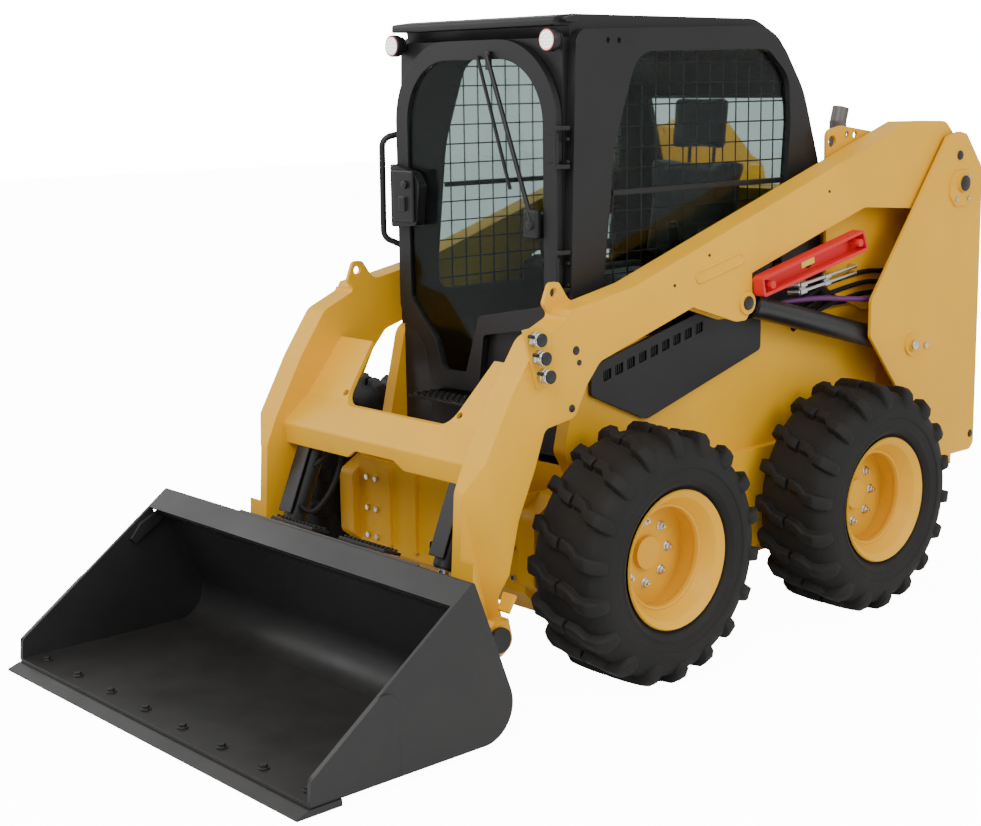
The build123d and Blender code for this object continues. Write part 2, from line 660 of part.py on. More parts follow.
def cylinder(base, eye, y, bore, wall, rod_radius, retract, gland, end_gap, name, base_pin, eye_radius, eye_half):
    """Barrel on its base pin; rod with piston and eye. retract is how far the rod still goes in."""
    dx = eye[0] - base[0]
    dz = eye[1] - base[1]
    length = math.hypot(dx, dz)
    ux = dx / length
    uz = dz / length
    start = Plane(origin=(rear_axle_x + base[0], y, base[1]), x_dir=(0, 1, 0), z_dir=(ux, 0, uz))
    base_wall = eye_radius + 14
    piston_at = base_wall + retract + 4
    barrel_end = length - eye_radius - retract - end_gap

    def round_bar(radius, begin, end, mode=Mode.ADD):
        with BuildSketch(start.offset(begin)) as section:
            Circle(radius)
        extrude(section.sketch, amount=end - begin, mode=mode)

    with BuildPart() as barrel:
        round_bar(bore + wall, eye_radius * 0.8, barrel_end)
        round_bar(bore + wall + 4, barrel_end - gland - 4, barrel_end - 6)
        disc(base, eye_radius, y + eye_half, y - eye_half)
        round_bar(bore, base_wall, barrel_end - gland, Mode.SUBTRACT)
        round_bar(rod_radius + 0.5, barrel_end - gland - 10, barrel_end + 10, Mode.SUBTRACT)
        for at in (base_wall + 20, barrel_end - gland - 30):
            port = Plane(origin=start.offset(at).origin, x_dir=(0, 1, 0), z_dir=(-uz, 0, ux))
            with BuildSketch(port.offset(bore + 3)) as boss:
                Circle(13)
            extrude(boss.sketch, amount=wall + 12)
        disc(base, base_pin + pin_fit, y + eye_half + 5, y - eye_half - 5, Mode.SUBTRACT)
    with BuildPart() as rod:
        round_bar(bore - 0.5, piston_at, piston_at + 24)
        round_bar(rod_radius, piston_at, length - eye_radius * 0.5)
        disc(eye, eye_radius, y + eye_half, y - eye_half)
    both(barrel.part, f"{name}_barrel")
    both(rod.part, f"{name}_rod")


cylinder(lift_base, lift_eye, lift_y, 34, 7, 20, 5, 40, 24, "lift_cylinder", lift_pin_radius, 42, 28)
cylinder(tilt_base, tilt_eye, tilt_y, 30, 6, 17, 52, 38, 8, "tilt_cylinder", tilt_pin_radius, 32, 30)

# coupler and bucket
back_len = math.hypot(back_high[0] - back_low[0], back_high[1] - back_low[1])
bx = (back_high[0] - back_low[0]) / back_len
bz = (back_high[1] - back_low[1]) / back_len


def back(s, n):
    """Point at s up the bucket's back and n behind it."""
    return (back_low[0] + bx * s - bz * n, back_low[1] + bz * s + bx * n)


with BuildPart() as coupler:
    plate([back(40, 20), back(380, 20), back(396, 60), back(384, 64), back(366, 34), back(40, 34)], coupler_half, -coupler_half)
    plate([back(150, 30), back(300, 30), back(300, 40), back(150, 40)], 250, -250, mode=Mode.SUBTRACT)
    front_plate([(-280, 250), (-230, 160), (230, 160), (280, 250)], 1900, 1700, [0, 30, 30, 0], Mode.SUBTRACT)
    for s in (-1, 1):
        low, high = sorted((s * (coupler_half - lug_plate), s * coupler_half))
        plate([back(40, 30), back(330, 30), (1735, 330), (1632, 285), (1618, 200), (1665, 168), (1730, 160)],
              high, low, [0, 0, 40, 30, 30, 30, 20])
        for y in (tilt_y - lug_gap / 2 - lug_plate, tilt_y + lug_gap / 2):
            low, high = sorted((s * y, s * (y + lug_plate)))
            plate([back(90, 30), back(350, 30), (1745, 392), (1712, 350), (1716, 300), (1745, 270)],
                  high, low, [0, 0, 30, 24, 24, 30])
        low, high = sorted((s * (coupler_half - 2), s * (arm_outer_y + 16)))
        disc(bucket_pin, bucket_pin_radius, high, low)
        low, high = sorted((s * (arm_outer_y + 6), s * (arm_outer_y + 18)))
        disc(bucket_pin, bucket_pin_radius + 10, high, low)
save(coupler.part, "bucket_coupler")

heel = 110
corner_x = back_low[0] - (back_low[1] - 26) * bx / bz
bucket_profile = [(1954, 526), (2539, 105), (2545, 26), (corner_x, 26)]
inside_profile = [(2047, 478), (1962, 418), (corner_x + 18, 38), (2620, 38), (2620, 90)]
with BuildPart() as bucket:
    plate(bucket_profile, bucket_half, -bucket_half, [8, 30, 0, heel])
    plate(inside_profile, bucket_half - bucket_wall, -bucket_half + bucket_wall, [0, 20, heel - 12, 0, 0], Mode.SUBTRACT)
    for y in (-460, -340, 340, 460):
        plate([back(60, -2), back(360, -2), back(360, 20), back(60, 20)], y + 10, y - 10)
    for s in (-1, 1):
        low, high = sorted((s * bucket_half, s * (bucket_half + 5)))
        plate([(2539, 105), (2300, 277), (2240, 277), (2240, 34), (2545, 34)], high, low, [0, 40, 40, 20, 0])
    disc((2010, 455), 9, bucket_half - bucket_wall + 1, -bucket_half - 6, Mode.SUBTRACT)
save(bucket.part, "bucket")

with BuildPart() as edge:
    plate([(2440, 26), (2550, 26), (lip_x, 12), (lip_x, edge_clear), (2440, edge_clear)], bucket_half + 5, -bucket_half - 5)
save(edge.part, "cutting_edge")
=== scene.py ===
import json
import math

import bpy
from mathutils import Matrix, Vector


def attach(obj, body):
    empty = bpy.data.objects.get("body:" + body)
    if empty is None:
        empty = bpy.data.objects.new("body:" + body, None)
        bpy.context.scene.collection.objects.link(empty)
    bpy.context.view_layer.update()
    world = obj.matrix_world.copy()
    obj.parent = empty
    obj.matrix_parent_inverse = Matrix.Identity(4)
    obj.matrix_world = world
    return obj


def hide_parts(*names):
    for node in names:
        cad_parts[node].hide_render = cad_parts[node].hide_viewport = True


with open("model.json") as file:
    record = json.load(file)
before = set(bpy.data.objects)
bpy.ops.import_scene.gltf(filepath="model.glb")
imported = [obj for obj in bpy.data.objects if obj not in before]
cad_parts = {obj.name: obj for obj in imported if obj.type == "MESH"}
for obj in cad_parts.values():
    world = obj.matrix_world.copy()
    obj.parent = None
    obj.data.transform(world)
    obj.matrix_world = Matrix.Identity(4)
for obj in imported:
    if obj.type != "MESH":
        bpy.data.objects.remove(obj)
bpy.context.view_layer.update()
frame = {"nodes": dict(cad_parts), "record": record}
nodes = frame["nodes"]

# side profiles are drawn from the rear axle, as in the part's source
rearAxle = -0.803
wheelbase = 1.105
axleHeight = 0.4155

# the photograph's camera, worked out from the wheels and the pin lines
cameraPlace = {
    "azimuth": 138.17,
    "elevation": 11.02,
    "roll": -0.89,
    "position": (4.166, 4.263, 1.899),
    "lens": 62.2,
}


def addCamera(p):
    az, el, roll = (math.radians(p[k]) for k in ("azimuth", "elevation", "roll"))
    back = Vector((math.sin(az) * math.cos(el), -math.cos(az) * math.cos(el), math.sin(el)))
    right = (-back).cross(Vector((0, 0, 1))).normalized()
    up = right.cross(-back)
    x = right * math.cos(roll) + up * math.sin(roll)
    y = up * math.cos(roll) - right * math.sin(roll)
    bpy.ops.object.camera_add()
    cam = bpy.context.object
    cam.name = "viewCamera"
    cam.data.lens = p["lens"]
    cam.data.sensor_width = 36
    cam.data.clip_end = 60
    turn = Matrix((x, y, back)).transposed().to_4x4()
    cam.matrix_world = Matrix.Translation(p["position"]) @ turn
    bpy.context.scene.camera = cam


addCamera(cameraPlace)
print("camera set")

# studio: pale floor, three soft lamps and a surround that is brighter to the camera than to the machine
studio = {
    "floorColour": (0.93, 0.93, 0.93, 1),
    "surroundStrength": 0.9,
    "seenStrength": 16.0,
    "floorGlow": 13.0,
    "lamps": (
        # place, aim, size, watts
        ((5.5, 2.5, 6.0), (0, 0, 0.8), 4.0, 420),
        ((-1.5, 7.0, 4.5), (0, 0, 0.8), 4.0, 220),
        ((3.0, -5.5, 4.0), (0, 0, 0.8), 4.0, 120),
    ),
}


def newMaterial(name):
    mat = bpy.data.materials.new(name)
    mat.use_nodes = True
    return mat, mat.node_tree, mat.node_tree.nodes["Principled BSDF"]


# one strength for camera rays and another for all the rest
def splitRays(tree, socket, others, camera):
    rays = tree.nodes.new("ShaderNodeLightPath")
    level = tree.nodes.new("ShaderNodeMapRange")
    level.inputs["To Min"].default_value = others
    level.inputs["To Max"].default_value = camera
    tree.links.new(rays.outputs["Is Camera Ray"], level.inputs["Value"])
    tree.links.new(level.outputs["Result"], socket)


def addStudio(s):
    world = bpy.data.worlds.new("studioSurround")
    world.use_nodes = True
    sky = world.node_tree.nodes["Background"]
    sky.inputs["Color"].default_value = (1, 1, 1, 1)
    splitRays(world.node_tree, sky.inputs["Strength"], s["surroundStrength"], s["seenStrength"])
    bpy.context.scene.world = world
    bpy.ops.mesh.primitive_plane_add(size=60)
    floor = bpy.context.object
    floor.name = "studioFloor"
    mat, tree, bsdf = newMaterial("paleFloor")
    bsdf.inputs["Base Color"].default_value = s["floorColour"]
    bsdf.inputs["Roughness"].default_value = 0.9
    bsdf.inputs["Emission Color"].default_value = (1, 1, 1, 1)
    splitRays(tree, bsdf.inputs["Emission Strength"], 0, s["floorGlow"])
    floor.data.materials.append(mat)
    for at, aim, width, watts in s["lamps"]:
        bpy.ops.object.light_add(type="AREA", location=at)
        lamp = bpy.context.object
        lamp.data.size = width
        lamp.data.energy = watts
        lamp.rotation_euler = (Vector(aim) - Vector(at)).to_track_quat("-Z", "Y").to_euler()


addStudio(studio)
print("studio set")


# shared effects
def newGroup(name, inputs, outputs):
    group = bpy.data.node_groups.new(name, "ShaderNodeTree")
    for label, kind, value in inputs:
        s = group.interface.new_socket(name=label, in_out="INPUT", socket_type=kind)
        s.default_value = value
    for label, kind in outputs:
        group.interface.new_socket(name=label, in_out="OUTPUT", socket_type=kind)
    return group, group.nodes.new("NodeGroupInput"), group.nodes.new("NodeGroupOutput")


def addNode(tree, kind, **values):
    node = tree.nodes.new(kind)
    for key, value in values.items():
        if hasattr(node, key):
            setattr(node, key, value)
        else:
            node.inputs[key.replace("_", " ")].default_value = value
    return node


# slow colour drift, fine grain and a height for the bump
def makeMottle():
    group, gin, gout = newGroup(
        "mottle",
        (
            ("Colour", "NodeSocketColor", (0.5, 0.5, 0.5, 1)),
            ("Scale", "NodeSocketFloat", 60.0),
            ("Drift", "NodeSocketFloat", 0.1),
        ),
        (("Colour", "NodeSocketColor"), ("Mask", "NodeSocketFloat"), ("Height", "NodeSocketFloat")),
    )
    place = addNode(group, "ShaderNodeTexCoord")
    slow = addNode(group, "ShaderNodeTexNoise", Scale=3.0, Detail=4.0)
    fine = addNode(group, "ShaderNodeTexNoise", Detail=5.0, Roughness=0.6)
    span = addNode(group, "ShaderNodeMapRange")
    minus = addNode(group, "ShaderNodeMath", operation="SUBTRACT")
    plus = addNode(group, "ShaderNodeMath", operation="ADD")
    minus.inputs[0].default_value = 1
    plus.inputs[0].default_value = 1
    hsv = addNode(group, "ShaderNodeHueSaturation")
    link = group.links.new
    link(place.outputs["Object"], slow.inputs["Vector"])
    link(place.outputs["Object"], fine.inputs["Vector"])
    link(gin.outputs["Scale"], fine.inputs["Scale"])
    link(gin.outputs["Drift"], minus.inputs[1])
    link(gin.outputs["Drift"], plus.inputs[1])
    link(slow.outputs["Fac"], span.inputs["Value"])
    span.inputs["From Min"].default_value = 0.3
    span.inputs["From Max"].default_value = 0.7
    link(minus.outputs[0], span.inputs["To Min"])
    link(plus.outputs[0], span.inputs["To Max"])
    link(span.outputs["Result"], hsv.inputs["Value"])
    link(gin.outputs["Colour"], hsv.inputs["Color"])
    link(hsv.outputs["Color"], gout.inputs["Colour"])
    link(slow.outputs["Fac"], gout.inputs["Mask"])
    link(fine.outputs["Fac"], gout.inputs["Height"])
    return group


# pale dust that gathers low down and on upward faces
def makeDust():
    group, gin, gout = newGroup(
        "dust",
        (
            ("Colour", "NodeSocketColor", (0.5, 0.5, 0.5, 1)),
            ("Dust", "NodeSocketColor", (0.35, 0.31, 0.25, 1)),
            ("Amount", "NodeSocketFloat", 0.2),
        ),
        (("Colour", "NodeSocketColor"), ("Mask", "NodeSocketFloat")),
    )
    place = addNode(group, "ShaderNodeTexCoord")
    geometry = addNode(group, "ShaderNodeNewGeometry")
    spread = addNode(group, "ShaderNodeTexNoise", Scale=9.0, Detail=6.0, Roughness=0.65)
    split = addNode(group, "ShaderNodeSeparateXYZ")
    low = addNode(group, "ShaderNodeMapRange", From_Min=0.0, From_Max=1.1, To_Min=1.0, To_Max=0.25)
    normal = addNode(group, "ShaderNodeSeparateXYZ")
    up = addNode(group, "ShaderNodeMapRange", From_Min=-0.2, From_Max=1.0, To_Min=0.35, To_Max=1.0)
    a = addNode(group, "ShaderNodeMath", operation="MULTIPLY")
    b = addNode(group, "ShaderNodeMath", operation="MULTIPLY")
    c = addNode(group, "ShaderNodeMath", operation="MULTIPLY", use_clamp=True)
    mix = addNode(group, "ShaderNodeMix", data_type="RGBA")
    link = group.links.new
    link(place.outputs["Object"], spread.inputs["Vector"])
    link(place.outputs["Object"], split.inputs[0])
    link(split.outputs["Z"], low.inputs["Value"])
    link(geometry.outputs["Normal"], normal.inputs[0])
    link(normal.outputs["Z"], up.inputs["Value"])
    link(low.outputs["Result"], a.inputs[0])
    link(up.outputs["Result"], a.inputs[1])
    link(a.outputs[0], b.inputs[0])
    link(spread.outputs["Fac"], b.inputs[1])
    link(b.outputs[0], c.inputs[0])
    link(gin.outputs["Amount"], c.inputs[1])
    link(c.outputs[0], mix.inputs["Factor"])
    link(gin.outputs["Colour"], mix.inputs["A"])
    link(gin.outputs["Dust"], mix.inputs["B"])
    link(mix.outputs["Result"], gout.inputs["Colour"])
    link(c.outputs[0], gout.inputs["Mask"])
    return group


mottle = makeMottle()
dust = makeDust()


# painted, plated or moulded surface: drift, dust, grain and softened edges
def makeCoat(name, colour, rough, metal=0.0, grain=220.0, bump=0.08, drift=0.06, dusty=0.25, edge=0.003,
             shine=0.5):
    mat, tree, bsdf = newMaterial(name)
    bsdf.inputs["Metallic"].default_value = metal
    bsdf.inputs["Specular IOR Level"].default_value = shine
    base = addNode(tree, "ShaderNodeGroup", node_tree=mottle)
    base.inputs["Colour"].default_value = (*colour, 1)
    base.inputs["Scale"].default_value = grain
    base.inputs["Drift"].default_value = drift
    dirt = addNode(tree, "ShaderNodeGroup", node_tree=dust)
    dirt.inputs["Amount"].default_value = dusty
    level = addNode(tree, "ShaderNodeMapRange", From_Min=0.3, From_Max=0.7)
    level.inputs["To Min"].default_value = rough - 0.06
    level.inputs["To Max"].default_value = rough + 0.08
    bumpNode = addNode(tree, "ShaderNodeBump", Strength=bump, Distance=0.002)
    soft = addNode(tree, "ShaderNodeBevel", Radius=edge)
    link = tree.links.new
    link(base.outputs["Colour"], dirt.inputs["Colour"])
    link(dirt.outputs["Colour"], bsdf.inputs["Base Color"])
    link(base.outputs["Mask"], level.inputs["Value"])
    link(level.outputs["Result"], bsdf.inputs["Roughness"])
    link(base.outputs["Height"], bumpNode.inputs["Height"])
    link(soft.outputs["Normal"], bumpNode.inputs["Normal"])
    link(bumpNode.outputs["Normal"], bsdf.inputs["Normal"])
    return mat


def makeGlass(name, colour, rough):
    mat, tree, bsdf = newMaterial(name)
    bsdf.inputs["Transmission Weight"].default_value = 1
    bsdf.inputs["IOR"].default_value = 1.2
    base = addNode(tree, "ShaderNodeGroup", node_tree=mottle)
    base.inputs["Colour"].default_value = (*colour, 1)
    base.inputs["Drift"].default_value = 0.04
    level = addNode(tree, "ShaderNodeMapRange", From_Min=0.3, From_Max=0.7)
    level.inputs["To Min"].default_value = rough
    level.inputs["To Max"].default_value = rough + 0.05
    tree.links.new(base.outputs["Colour"], bsdf.inputs["Base Color"])
    tree.links.new(base.outputs["Mask"], level.inputs["Value"])
    tree.links.new(level.outputs["Result"], bsdf.inputs["Roughness"])
    return mat


# woven cover: two crossed waves give threads in colour and height
def makeCloth(name, colour, pitch):
    mat, tree, bsdf = newMaterial(name)
    bsdf.inputs["Roughness"].default_value = 0.85
    bsdf.inputs["Sheen Weight"].default_value = 0.3
    place = addNode(tree, "ShaderNodeTexCoord")
    across = addNode(tree, "ShaderNodeTexWave", bands_direction="Y", Scale=pitch, Distortion=0.6)
    along = addNode(tree, "ShaderNodeTexWave", bands_direction="Z", Scale=pitch, Distortion=0.6)
    top = addNode(tree, "ShaderNodeMath", operation="MAXIMUM")
    base = addNode(tree, "ShaderNodeGroup", node_tree=mottle)
    base.inputs["Colour"].default_value = (*colour, 1)
    base.inputs["Drift"].default_value = 0.15
    dark = addNode(tree, "ShaderNodeMix", data_type="RGBA", blend_type="MULTIPLY")
    dark.inputs["Factor"].default_value = 0.5
    bumpNode = addNode(tree, "ShaderNodeBump", Strength=0.4, Distance=0.001)
    link = tree.links.new
    link(place.outputs["Object"], across.inputs["Vector"])
    link(place.outputs["Object"], along.inputs["Vector"])
    link(across.outputs["Fac"], top.inputs[0])
    link(along.outputs["Fac"], top.inputs[1])
    link(base.outputs["Colour"], dark.inputs["A"])
    link(top.outputs[0], dark.inputs["B"])
    link(dark.outputs["Result"], bsdf.inputs["Base Color"])
    link(top.outputs[0], bumpNode.inputs["Height"])
    link(bumpNode.outputs["Normal"], bsdf.inputs["Normal"])
    return mat


finish = {
    "yellow_paint": makeCoat("yellowPaint", (0.72, 0.37, 0.012), 0.45, dusty=0.02, shine=0.25),
    "cab_black": makeCoat("cabBlack", (0.010, 0.010, 0.0105), 0.38, dusty=0.03, shine=0.3),
    "bucket_black": makeCoat("bucketBlack", (0.0115, 0.0115, 0.012), 0.4, grain=120, bump=0.12, dusty=0.05,
                             shine=0.35),
    "tyre_rubber": makeCoat("tyreRubber", (0.0035, 0.0035, 0.0035), 0.7, grain=160, bump=0.25, drift=0.2,
                            dusty=0.05, edge=0.005, shine=0.3),
    "tinted_glass": makeGlass("tintedGlass", (0.62, 0.72, 0.70), 0.02),
    "seat_cover": makeCloth("seatCover", (0.02, 0.021, 0.023), 120),
    "lamp_plastic": makeCoat("lampPlastic", (0.008, 0.008, 0.009), 0.38, dusty=0.02, shine=0.35),
    "engine_iron": makeCoat("engineIron", (0.06, 0.06, 0.062), 0.6, grain=90, bump=0.5, drift=0.2),
    "stack_steel": makeCoat("stackSteel", (0.12, 0.115, 0.11), 0.5, metal=0.5, drift=0.25),
    "red_paint": makeCoat("redPaint", (0.6, 0.012, 0.014), 0.42, dusty=0.03, shine=0.35),
    "coupling_steel": makeCoat("couplingSteel", (0.62, 0.62, 0.63), 0.25, metal=1.0, dusty=0.03),
    "cylinder_black": makeCoat("cylinderBlack", (0.01, 0.01, 0.011), 0.33, dusty=0.03, shine=0.4),
    "rod_chrome": makeCoat("rodChrome", (0.75, 0.75, 0.77), 0.12, metal=1.0, bump=0.02, dusty=0.01),
}
slotOf = {s["node"]: s["material_slot"] for s in frame["record"]["subparts"]}
for name, obj in nodes.items():
    for s in obj.material_slots:
        s.material = finish[slotOf[name]]
print("materials set")


# names a finished piece, gives it its finish and the body that carries it
def settle(obj, name, slot, body, mat=None):
    obj.name = name
    obj.data.materials.clear()
    obj.data.materials.append(mat or finish[slot])
    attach(obj, body)
    return obj


# metres in the shared frame, from millimetres with x taken from the rear axle
def place(x, y, z):
    return Vector((rearAxle + x / 1000, y / 1000, z / 1000))


# left and right of the machine, and a span of y on one of them
bothSides = (("left", 1), ("right", -1))


def across(s, a, b):
    return tuple(sorted((s * a, s * b)))


def join(parts, name):
    bpy.ops.object.select_all(action="DESELECT")
    for p in parts:
        p.select_set(True)
    bpy.context.view_layer.objects.active = parts[0]
    if len(parts) > 1:
        bpy.ops.object.join()
    obj = bpy.context.object
    bpy.ops.object.transform_apply(location=True, rotation=True, scale=True)
    obj.name = name
    return obj


def copyOf(obj, matrix):
    other = obj.copy()
    other.data = obj.data.copy()
    other.data.transform(matrix)
    if matrix.determinant() < 0:
        other.data.flip_normals()
    bpy.context.collection.objects.link(other)
    return other


# bevelled block between two corners, millimetres, x from the rear axle
def box(x, y, z, bevel=2.0, segments=2):
    low, high = place(x[0], y[0], z[0]), place(x[1], y[1], z[1])
    bpy.ops.mesh.primitive_cube_add(size=1, location=(low + high) / 2)
    obj = bpy.context.object
    obj.scale = high - low
    bpy.ops.object.transform_apply(location=True, rotation=True, scale=True)
    if bevel:
        rounded(obj, bevel, segments)
    return obj


def rounded(obj, width, segments=2):
    mod = obj.modifiers.new("edges", "BEVEL")
    mod.width = width / 1000
    mod.segments = segments
    mod.limit_method = "ANGLE"
    bpy.context.view_layer.objects.active = obj
    bpy.ops.object.modifier_apply(modifier=mod.name)


# bar between two points in millimetres, round or with flats
def rod(start, end, radius, sides=20, bevel=0.0):
    a, b = place(*start), place(*end)
    bpy.ops.mesh.primitive_cylinder_add(vertices=sides, radius=radius / 1000, depth=(b - a).length)
    obj = bpy.context.object
    turn = (b - a).to_track_quat("Z", "Y").to_matrix().to_4x4()
    obj.matrix_world = Matrix.Translation((a + b) / 2) @ turn
    bpy.ops.object.transform_apply(location=True, rotation=True, scale=True)
    if bevel:
        rounded(obj, bevel)
    if sides > 8:
        bpy.ops.object.shade_smooth_by_angle(angle=math.radians(35))
    return obj


# new mesh object, open in edit mode with all of it selected
def openMesh(name, verts, edges, faces):
    mesh = bpy.data.meshes.new(name)
    mesh.from_pydata(verts, edges, faces)
    obj = bpy.data.objects.new(name, mesh)
    bpy.context.collection.objects.link(obj)
    bpy.ops.object.select_all(action="DESELECT")
    obj.select_set(True)
    bpy.context.view_layer.objects.active = obj
    bpy.ops.object.mode_set(mode="EDIT")
    bpy.ops.mesh.select_all(action="SELECT")
    return obj


# faces outwards, and back to object mode
def closeMesh():
    bpy.ops.mesh.select_all(action="SELECT")
    bpy.ops.mesh.normals_make_consistent(inside=False)
    bpy.ops.object.mode_set(mode="OBJECT")


# side profile in (x, z) extruded from y0 to y1
def strip(points, y0, y1, bevel=0.0):
    obj = openMesh("strip", [place(x, y0, z) for x, z in points], [], [range(len(points))])
    bpy.ops.mesh.extrude_region_move(TRANSFORM_OT_translate={"value": (0, (y1 - y0) / 1000, 0)})
    closeMesh()
    if bevel:
        rounded(obj, bevel)
    return obj


# closed (y, radius) profile turned about the axle line, with the wheel's centre at the origin
def spun(profile, steps, name):
    verts = [Vector((0, y / 1000, r / 1000)) for y, r in profile]
    n = len(verts)
    obj = openMesh(name, verts, [(k, (k + 1) % n) for k in range(n)], [])
    bpy.ops.mesh.spin(steps=steps, angle=2 * math.pi, center=(0, 0, 0), axis=(0, 1, 0))
    bpy.ops.mesh.select_all(action="SELECT")
    bpy.ops.mesh.remove_doubles(threshold=0.00005)
    closeMesh()
    bpy.ops.object.shade_smooth_by_angle(angle=math.radians(40))
    return obj


# pressure hose as one smooth spline through the air between its fittings
def hose(points, radius, name, slot, body, mat=None):
    curve = bpy.data.curves.new(name, "CURVE")
    curve.dimensions = "3D"
    curve.bevel_depth = radius / 1000
    curve.bevel_resolution = 4
    curve.resolution_u = 12
    spline = curve.splines.new("NURBS")
    spline.points.add(len(points) - 1)
    for p, at in zip(spline.points, points):
        p.co = (*place(*at), 1)
    spline.order_u = 3
    spline.use_endpoint_u = True
    obj = bpy.data.objects.new(name, curve)
    bpy.context.collection.objects.link(obj)
    settle(obj, name, slot, body, mat)
    return obj


# tyres: spun carcass with ribs on the wall, and slanted wavy lugs in two staggered rows
tyre = {
    "section": [(0, 387), (60, 386.5), (104, 383), (128, 370), (145, 345), (152, 318), (152.5, 300), (149, 296),
                (150, 280), (146, 262), (148, 258), (142, 246), (134, 238), (124, 233), (120, 209)],
    "lugs": 18,
    "centreOut": 0.685,
    # across, along the tread, width, top, foot
    "path": [(6, -36, 40, 413, 380), (52, -24, 36, 413, 380), (78, 2, 40, 412.5, 379), (118, 10, 48, 410, 372),
             (139, 14, 52, 392, 350), (150, 16, 50, 366, 330), (150.4, 17, 40, 340, 318)],
}


def makeLug(t):
    verts, faces = [], []
    for y, along, width, top, foot in t["path"]:
        for radius, edge in ((foot, -1.25), (foot, 1.25), (top, 0.85), (top, -0.85)):
            out = y + (0 if radius == foot or y < 130 else 2.5)
            if radius == foot and y > 130:
                out = y - 16
            angle = (along + edge * width / 2) / 400
            verts.append(Vector((radius * math.sin(angle), out, radius * math.cos(angle))) / 1000)
    count = len(t["path"])
    for k in range(count - 1):
        a, b = k * 4, k * 4 + 4
        for j in range(4):
            faces.append((a + j, a + (j + 1) % 4, b + (j + 1) % 4, b + j))
    faces.append((3, 2, 1, 0))
    faces.append(tuple(count * 4 - 4 + j for j in range(4)))
    obj = openMesh("lug", verts, [], faces)
    closeMesh()
    rounded(obj, 4)
    bpy.ops.object.shade_smooth_by_angle(angle=math.radians(50))
    return obj


def makeTyre(t):
    half = t["section"]
    carcass = spun(half + [(-y, r) for y, r in half[:0:-1]], 90, "carcass")
    lug = makeLug(t)
    parts = [carcass, lug]
    flip = Matrix.Diagonal((-1, -1, 1, 1))
    for k in range(t["lugs"]):
        for side in (0, 1):
            if k == 0 and side == 0:
                continue
            turn = Matrix.Rotation((k + side / 2) * 2 * math.pi / t["lugs"], 4, "Y")
            parts.append(copyOf(lug, turn @ flip if side else turn))
    return join(parts, "tyre")


wheels = {"front": wheelbase, "rear": 0.0}


def placeWheelPiece(master, stem, slot, replaced=None):
    for end, x in wheels.items():
        for side, s in bothSides:
            move = Matrix.Translation((rearAxle + x, s * tyre["centreOut"], axleHeight))
            turn = Matrix.Rotation(math.pi, 4, "Z") if s < 0 else Matrix.Identity(4)
            piece = copyOf(master, move @ turn)
            settle(piece, f"{stem}_{end}_{side}", slot, f"wheel_{end}_{side}")
            if replaced:
                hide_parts(f"{replaced}_{end}_{side}")
    bpy.data.objects.remove(master)


placeWheelPiece(makeTyre(tyre), "treadedTyre", "tyre_rubber", "tyre")
print("tyres")

nuts = {
    "count": 8,
    "circle": 103,
    # radius, depth, facets and place along the axle of nut, washer and stud
    "parts": ((13, 12, 6, -2), (17, 3, 20, -7), (6, 20, 12, 4)),
}
# stepped ring inside the dish, as (out, radius) from the wheel's centre
rimRing = [(76, 173), (79, 168), (77, 163), (70, 161), (58, 161), (54, 164), (52, 173)]


def makeNuts(n):
    parts = []
    for k in range(n["count"]):
        angle = k * 2 * math.pi / n["count"]
        x, z = n["circle"] * math.cos(angle), n["circle"] * math.sin(angle)
        for radius, depth, facets, at in n["parts"]:
            bpy.ops.mesh.primitive_cylinder_add(
                vertices=facets, radius=radius / 1000, depth=depth / 1000,
                location=(x / 1000, at / 1000, z / 1000), rotation=(math.pi / 2, 0, 0),
            )
            bpy.ops.object.transform_apply(location=True, rotation=True, scale=True)
            rounded(bpy.context.object, 1)
            parts.append(bpy.context.object)
    return join(parts, "nuts")


placeWheelPiece(makeNuts(nuts), "wheelNuts", "coupling_steel")
placeWheelPiece(spun(rimRing, 64, "ring"), "rimRing", "yellow_paint")
print("wheel nuts and rings")

# wire guards and bars in the side windows
window = {
    "outline": [(1046, 1170), (988, 1690), (940, 1940), (880, 1992), (215, 2000), (130, 1960), (98, 1905),
                (86, 1740), (130, 1170)],
    "along": (150, 1040),
    "up": (1210, 1990),
    "pitch": 68,
    "wire": 2.4,
    "overlap": 6,
    "y": 402,
    "bar": ((108, 982), (411, 421), (1534, 1552)),
}


# lowest and highest place where the outline crosses a value of one axis
def crossings(outline, axis, value):
    hits = []
    for p, q in zip(outline, outline[1:] + outline[:1]):
        if (p[axis] - value) * (q[axis] - value) < 0:
            f = (value - p[axis]) / (q[axis] - p[axis])
            hits.append(p[1 - axis] + f * (q[1 - axis] - p[1 - axis]))
    return min(hits), max(hits)


def makeGuard(w, y):
    parts = []
    for x in range(*w["along"], w["pitch"]):
        low, high = crossings(w["outline"], 0, x)
        parts.append(rod((x, y, low - w["overlap"]), (x, y, high + w["overlap"]), w["wire"], 8))
    for z in range(*w["up"], w["pitch"]):
        low, high = crossings(w["outline"], 1, z)
        parts.append(rod((low - w["overlap"], y + 4, z), (high + w["overlap"], y + 4, z), w["wire"], 8))
    return join(parts, "guard")


for side, s in bothSides:
    settle(makeGuard(window, s * window["y"]), f"wireGuard_{side}", "cab_black", "chassis")
    x, y, z = window["bar"]
    settle(box(x, across(s, *y), z, 1.5), f"windowBar_{side}", "cab_black", "chassis")
print("window guards")

# lamps: finned housing, red ring and a lens full of small lights
lamp = {
    "y": 384,
    "z": 2028,
    "front": 1240,
    "radius": 37,
    "fins": (1196, 1202, 1208),
    # count and radius of each ring of lights
    "rings": ((1, 0), (6, 12), (12, 23)),
    "light": 4.4,
}


